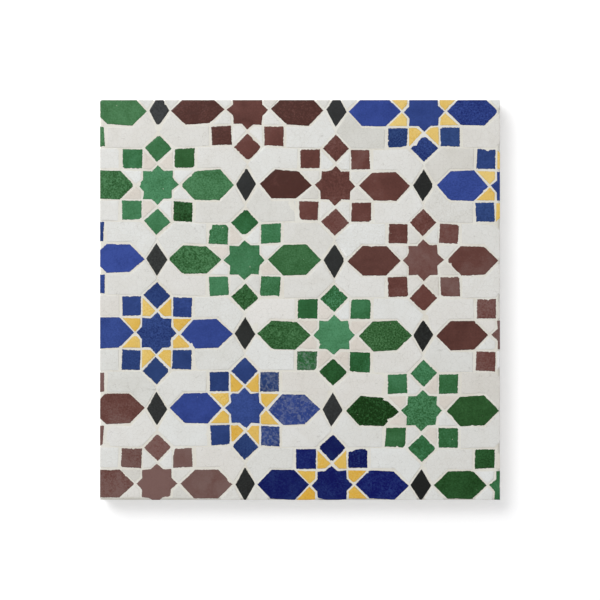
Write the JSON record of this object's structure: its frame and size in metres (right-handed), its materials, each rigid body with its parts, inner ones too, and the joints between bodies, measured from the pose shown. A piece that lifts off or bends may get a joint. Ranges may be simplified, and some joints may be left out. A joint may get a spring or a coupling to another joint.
{
  "type": "moroccan mosaic tile panel",
  "caption": "Square zellij mosaic panel: hand-cut glazed clay chips in a pattern of eight-pointed stars, hexagons and squares, cast in a mortar bed.",
  "frame": {"origin": "centre of the panel's underside", "axes": "+Z out of the glazed faces, +X along the courses of stars, +Y across the courses"},
  "size_m": [0.4, 0.4, 0.024],
  "materials": {
    "mortar": "dry off-white lime and cement mortar, trowelled flat below, wiped joints above",
    "glaze_green": "green tin and lead glaze on pale fired clay, hand cut, pitted and nicked",
    "glaze_brown": "brown tin and lead glaze on pale fired clay, hand cut, pitted and nicked",
    "glaze_blue": "blue tin and lead glaze on pale fired clay, hand cut, pitted and nicked",
    "glaze_yellow": "yellow tin and lead glaze on pale fired clay, hand cut, pitted and nicked",
    "glaze_black": "black tin and lead glaze on pale fired clay, hand cut, pitted and nicked",
    "glaze_white": "white tin and lead glaze on pale fired clay, hand cut, pitted and nicked"
  },
  "bodies": {
    "root": {"mortar_bed": "mortar", "kites_white": "glaze_white", "kites_yellow": "glaze_yellow", "diamonds_black": "glaze_black", "ground_chips_white": "glaze_white", "stars_green": "glaze_green", "hexagons_green": "glaze_green", "corner_squares_green": "glaze_green", "tip_squares_green": "glaze_green", "stars_brown": "glaze_brown", "hexagons_brown": "glaze_brown", "corner_squares_brown": "glaze_brown", "tip_squares_brown": "glaze_brown", "stars_blue": "glaze_blue", "hexagons_blue": "glaze_blue", "corner_squares_blue": "glaze_blue", "tip_squares_blue": "glaze_blue"}
  },
  "joints": []
}
